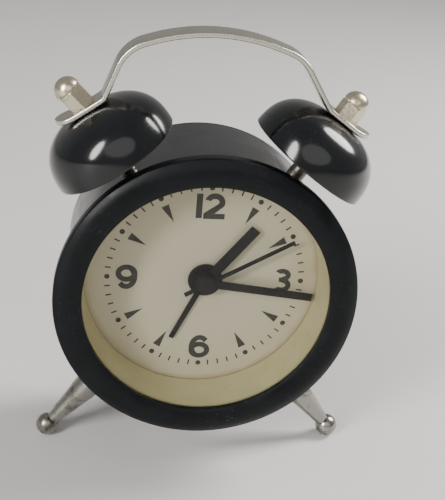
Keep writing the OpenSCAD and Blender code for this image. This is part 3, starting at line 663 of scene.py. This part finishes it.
def drum_profile():
    """Sheet-metal tube with a flange under the bezel."""
    gap = 0.2
    lip_r = BEZEL_R - BEZEL_WALL - gap
    inner_r = CASE_R - SHEET_T
    behind = LENS_SEAT + SHEET_T
    return rounded(
        [(inner_r, LENS_SEAT, 0), (lip_r, LENS_SEAT, 0.2), (lip_r, behind, 0.2)]
        + [(CASE_R, behind, 0.5), (CASE_R, CASE_BACK, 0.25), (inner_r, CASE_BACK, 0)]
    )


def surround_profile():
    """Wall that narrows from the lens to the dial, with a flange behind the bezel."""
    mouth_r = 38
    foot_r = 37.2
    wall = 0.8
    flange_r = 41.1
    flange_t = 1
    behind = LENS_SEAT + flange_t
    return rounded(
        [(mouth_r, LENS_SEAT, 0), (flange_r, LENS_SEAT, 0), (flange_r, behind, 0)]
        + [(mouth_r + wall, behind, 0), (foot_r + wall, DIAL_DEPTH, 0), (foot_r, DIAL_DEPTH, 0.15)]
    )


stud_holes = [place(side) for place in (bell_place, leg_place) for side in (-1, 1)]
drum = lathe(drum_profile(), 256)
drum.transform(DIAL)
piece("bezel", lathe(bezel_profile(), 256), "front_bezel", bezel_enamel, DIAL)
piece("drum", drilled(drum, stud_holes, STUD_HOLE_R, BEZEL_R), "case_drum", drum_enamel)
piece("surround", lathe(surround_profile(), 256), "dial_surround", cream_wall(), DIAL)

# ---------------------------------------------------------------- bells, posts, nuts and handle


def dome(radius, height, steps):
    """Half outline of a shell fuller than an ellipse, as (radius, height) from rim to crown."""
    points = []
    for k in range(steps + 1):
        t = math.pi / 2 * k / steps
        out = math.cos(t) ** BELL_FULLNESS
        up = math.sin(t) ** BELL_FULLNESS
        points.append((radius * out, height * up))
    return points


def bell_profile():
    """Thin shell with a rolled rim and a hole for its stud."""
    inner_h = BELL_HEIGHT - BELL_WALL
    rim_r = BELL_WALL / 2

    def wall(radius, height):
        """The dome's outline between the rolled rim and the hole."""
        return [(r, h) for r, h in dome(radius, height, 64) if r > STUD_HOLE_R and h > rim_r]

    rim = [(r, h) for r, h, _ in arc((BELL_R - rim_r, rim_r), rim_r, 180, 360, 8)]
    outside = wall(BELL_R, BELL_HEIGHT)
    inside = wall(BELL_R - BELL_WALL, inner_h)
    crown = [(STUD_HOLE_R, BELL_HEIGHT), (STUD_HOLE_R, inner_h)]
    points = rim + outside + crown + inside[::-1]
    return [(r, BELL_REACH + h) for r, h in points]


def post_profile():
    """Stud with a spacer sleeve between drum and bell, grooved near both ends."""
    clearance = 0.05
    shoulder = BELL_TOP - BELL_WALL - clearance
    end = NUT_BASE + STUD_IN_NUT
    groove = 0.25
    from_end = 1.4
    sleeve = []
    for height in (CASE_R + from_end, shoulder - from_end):
        sleeve.append((SLEEVE_R, height - groove, 0))
        sleeve.append((SLEEVE_R - groove, height, 0.1))
        sleeve.append((SLEEVE_R, height + groove, 0))
    return rounded(
        [(0, STUD_INNER, 0), (STUD_R, STUD_INNER, 0.3), (STUD_R, CASE_R, 0)]
        + [(SLEEVE_R, CASE_R, 0.15)]
        + sleeve
        + [(SLEEVE_R, shoulder, 0.15), (STUD_R, shoulder, 0), (STUD_R, end, 0.3), (0, end, 0)]
    )


def nut_profile(hexagon):
    """Outline of an acorn nut up to its hexagon's height and over its dome.

    It starts below the tab that it sits on, because a leaning nut is cut off level there."""
    foot = -1.2
    corner_r = NUT_FLATS / math.sqrt(3)
    dome_r = corner_r - 0.1
    neck_r = NUT_FLATS / 2 + 0.05
    dome_start = 8
    steps = 14
    cap = []
    for k in range(steps + 1):
        a = math.radians(dome_start + (90 - dome_start) * k / steps)
        cap.append((dome_r * math.cos(a), hexagon + NUT_DOME * math.sin(a), 0))
    return rounded(
        [(0, foot, 0), (corner_r, foot, 0), (corner_r, hexagon - 0.6, 0.3)]
        + [(neck_r + 0.1, hexagon - 0.3, 0.1), (neck_r, hexagon - 0.15, 0.05)]
        + [(dome_r - 0.1, hexagon - 0.05, 0.1), (dome_r, hexagon + 0.2, 0.2)]
        + cap
    )


def acorn_nut(height, lean, place):
    """Mesh of a leaning acorn nut, cut flat where it sits on the handle's tab, with its bore."""
    hexagon = height - NUT_DOME
    turn = math.radians(8)

    def flatted(radius, angle, level):
        """Radius cut back to the nearest of six flats, below the neck."""
        if level >= hexagon - 0.3:
            return radius
        from_flat = (angle + math.pi / 6) % (math.pi / 3) - math.pi / 6
        return min(radius, NUT_FLATS / 2 / math.cos(from_flat))

    bm = lathe(nut_profile(hexagon), 144, flatted)
    bm.transform(Matrix.Rotation(lean, 4, "Y") @ Matrix.Rotation(turn, 4, "Z"))
    parts = bm.verts[:] + bm.edges[:] + bm.faces[:]
    bmesh.ops.bisect_plane(
        bm, geom=parts, plane_co=(0, 0, 0), plane_no=(0, 0, 1), clear_inner=True
    )
    bmesh.ops.holes_fill(bm, edges=[edge for edge in bm.edges if edge.is_boundary])
    bm.transform(place @ Matrix.Translation((0, 0, NUT_BASE)))
    return drilled(bm, [place], BORE_R, BORE_END)


def handle_path():
    """Centre line of the strip, from the left tab over the arch to the right tab."""
    level = BELL_TOP + HANDLE_T / 2

    def tab(side, along, raised=0.0):
        """Point on a tab, measured outwards from its stud and up from its flat."""
        axis = Vector((side * math.sin(BELL_LEAN), math.cos(BELL_LEAN)))
        outward = Vector((side * math.cos(BELL_LEAN), -math.sin(BELL_LEAN)))
        return (level + raised) * axis + along * outward

    shoulder = Vector((25.6, HANDLE_PEAK - 8.95))
    corners = [
        (*tab(-1, TAB_OUTER, TAB_CURL), 0),
        (*tab(-1, TAB_BEND), 9),
        (*tab(-1, -TAB_INNER), 3),
        (HANDLE_SKEW - shoulder.x, shoulder.y, 12),
        (HANDLE_SKEW, HANDLE_PEAK, 58),
        (HANDLE_SKEW + shoulder.x, shoulder.y, 12),
        (*tab(1, -TAB_INNER), 3),
        (*tab(1, TAB_BEND), 9),
        (*tab(1, TAB_OUTER, TAB_CURL), 0),
    ]
    line = rounded(corners, closed=False, step=math.radians(4))
    return resampled(line, spacing=0.5, end_r=HANDLE_W / 2)


def resampled(line, spacing, end_r):
    """Points along a line at an even spacing, closing up within end_r of its ends."""
    runs = [0.0]
    for a, b in zip(line, line[1:]):
        runs.append(runs[-1] + (b - a).length)
    total = runs[-1]
    steps = 10
    round_end = [end_r * (1 - math.cos(math.pi / 2 * k / steps)) for k in range(steps)]
    count = int((total - 2 * end_r) / spacing)
    even = [end_r + (total - 2 * end_r) * k / count for k in range(count + 1)]
    stations = round_end + even + [total - s for s in reversed(round_end)]
    points = []
    i = 0
    for s in stations:
        while i < len(runs) - 2 and runs[i + 1] < s:
            i += 1
        share = (s - runs[i]) / (runs[i + 1] - runs[i])
        points.append(line[i].lerp(line[i + 1], min(1, share)))
    return points


for side, name in ((-1, "left"), (1, "right")):
    place = bell_place(side)
    piece(f"bell_shell_{name}", lathe(bell_profile()), f"bell_{name}", bell_enamel, place)
    piece(f"post_{name}", lathe(post_profile(), 96), f"bell_post_{name}", post_plate_shaded, place)
    nut = acorn_nut(NUT_HEIGHT[name], side * NUT_LEAN[name], place)
    piece(f"acorn_nut_{name}", nut, f"cap_nut_{name}", nut_plate, crease=math.radians(24))

bar = strip(handle_path(), HANDLE_W, HANDLE_T, round_r=0.55, end_r=HANDLE_W / 2)
bar.transform(CASE @ Matrix.Translation((0, BELL_DEPTH, 0)))
bar = drilled(bar, [bell_place(-1), bell_place(1)], STUD_HOLE_R, BORE_END)
piece("handle_strap", bar, "handle", handle_plate)

# ---------------------------------------------------------------- legs


def leg_profile():
    """Turned leg: stud, collar, long slim cone and ball foot."""
    joint_r = 2.2
    start = math.degrees(math.acos(joint_r / BALL_R))
    ball = arc((0, LEG_REACH), BALL_R, -start, 90, 28)
    cone_start = CASE_R + 1
    cone_length = ball[0][1] - cone_start
    steps = 13
    cone = []
    for k in range(1, steps):
        t = k / steps
        cone.append((LEG_R + (joint_r - LEG_R) * t, cone_start + cone_length * t, 0))
    return rounded(
        [(0, STUD_INNER, 0), (STUD_R, STUD_INNER, 0.3), (STUD_R, CASE_R, 0)]
        + [(LEG_R - 0.2, CASE_R, 0.15), (LEG_R, CASE_R + 0.6, 0.3)]
        + cone
        + ball
    )


for side, name in ((-1, "left"), (1, "right")):
    leg = lathe(leg_profile(), 128)
    piece(f"turned_leg_{name}", leg, f"leg_{name}", leg_plate, leg_place(side))

# ---------------------------------------------------------------- dial and hands

NODES["lens"].data.materials.clear()
NODES["lens"].data.materials.append(clear_lens())
paint = hand_paint()
for node in ("alarm_hand", "hour_hand", "minute_hand", "second_hand"):
    piece(f"{node}_shape", softened(node, 0.1), node, paint, crease=math.radians(20))

# ---------------------------------------------------------------- back and movement

for node, width, finish in (
    ("rear_cover", 0.25, black_moulding),
    ("battery_door", 0.15, black_moulding),
    ("foot_pad", 0.3, rubber),
    ("time_set_knob", 0.12, ivory_moulding),
    ("alarm_set_knob", 0.12, ivory_moulding),
    ("alarm_switch", 0.12, ivory_moulding),
    ("cover_screws", 0.08, zinc),
):
    piece(f"{node}_shape", softened(node, width), node, finish, crease=math.radians(20))

# Nodes that keep their CAD shape, with their finishes
KEPT = {
    "dial": dial_card(),
    "dial_markings": matt_ink(),
    "battery": cell_jacket(),
    "battery_spring": spring_nickel,
    "battery_contact": spring_nickel,
    "mounting_plate": ivory_moulding,
    "movement_housing": ivory_moulding,
    "alarm_wheel": acetal,
    "hour_wheel": acetal,
    "minute_wheel": acetal,
    "third_wheel": acetal,
    "intermediate_wheel": acetal,
    "centre_wheel": sheet_brass,
    "seconds_wheel": sheet_brass,
    "rotor": sintered,
    "stator": zinc,
    "coil": winding(),
    "circuit_board": circuit(),
    "quartz_crystal": spring_nickel,
    "buzzer": black_moulding,
    "lead_wires": red_jacket,
    "thin_nuts": zinc,
    "movement_screws": zinc,
}
for node, finish in KEPT.items():
    for spot in NODES[node].material_slots:
        spot.material = finish

# ---------------------------------------------------------------- stage, light and camera


def floor():
    """A wide pale table top."""
    f = Finish("pale_floor")
    shade = f.mix(f.noise(60), (0.60, 0.595, 0.585), (0.63, 0.625, 0.615))
    f.principled(Base_Color=shade, Roughness=0.6, Normal=f.bump(f.noise(0.8, detail=3), 0.01))
    half = 4.0
    corners = [(-half, -half, 0), (half, -half, 0), (half, half, 0), (-half, half, 0)]
    mesh = bpy.data.meshes.new("table_top")
    mesh.from_pydata(corners, [], [(0, 1, 2, 3)])
    mesh.materials.append(f.material)
    obj = bpy.data.objects.new("table_top", mesh)
    bpy.context.scene.collection.objects.link(obj)


def area_light(name, place, target, size, power, colour):
    """A soft oval light at a place, turned towards a target, all in metres and watts."""
    data = bpy.data.lights.new(name, "AREA")
    data.shape = "ELLIPSE"
    data.size, data.size_y = size
    data.energy = power
    data.color = colour
    obj = bpy.data.objects.new(name, data)
    obj.location = place
    obj.rotation_euler = (Vector(target) - Vector(place)).to_track_quat("-Z", "Y").to_euler()
    bpy.context.scene.collection.objects.link(obj)


def camera():
    """View from in front, a little to the left and well above, with the camera slightly rolled."""
    azimuth, elevation, roll = (math.radians(a) for a in (-8.8, 24.56, 5.27))
    distance = 297.3
    target = LIP + Vector((2.98, 0, 18.27))
    level = math.cos(elevation)
    back = Vector((math.sin(azimuth) * level, -math.cos(azimuth) * level, math.sin(elevation)))
    right = (-back).cross(Vector((0, 0, 1))).normalized()
    up = right.cross(-back)
    cos_roll, sin_roll = math.cos(roll), math.sin(roll)
    right, up = right * cos_roll + up * sin_roll, up * cos_roll - right * sin_roll
    data = bpy.data.cameras.new("camera")
    data.lens = 81.49
    data.sensor_width = 36
    data.sensor_fit = "HORIZONTAL"
    data.clip_start = 0.01
    obj = bpy.data.objects.new("camera", data)
    turn = Matrix((right, up, back)).transposed().to_4x4()
    obj.matrix_world = Matrix.Translation((target + back * distance) * MM) @ turn
    bpy.context.scene.collection.objects.link(obj)
    bpy.context.scene.camera = obj


def world():
    """Even, slightly warm light from all round."""
    shell = bpy.data.worlds.new("studio")
    shell.use_nodes = True
    background = shell.node_tree.nodes["Background"]
    background.inputs["Color"].default_value = (1.0, 0.985, 0.96, 1)
    background.inputs["Strength"].default_value = 0.36
    bpy.context.scene.world = shell


DAYLIGHT = (1.0, 0.98, 0.95)
WARM_LIGHT = (1.0, 0.98, 0.92)

floor()
world()
area_light("window", (0.66, 0.2, 0.62), (0, 0, 0.07), size=(0.36, 0.56), power=12, colour=DAYLIGHT)
area_light("fill", (-0.85, -0.85, 0.66), (0, 0, 0.06), size=(0.35, 0.9), power=21, colour=DAYLIGHT)
area_light("front", (0.1, -1.4, 0.9), (0, 0, 0.05), size=(1.7, 1.2), power=5.5, colour=WARM_LIGHT)
camera()
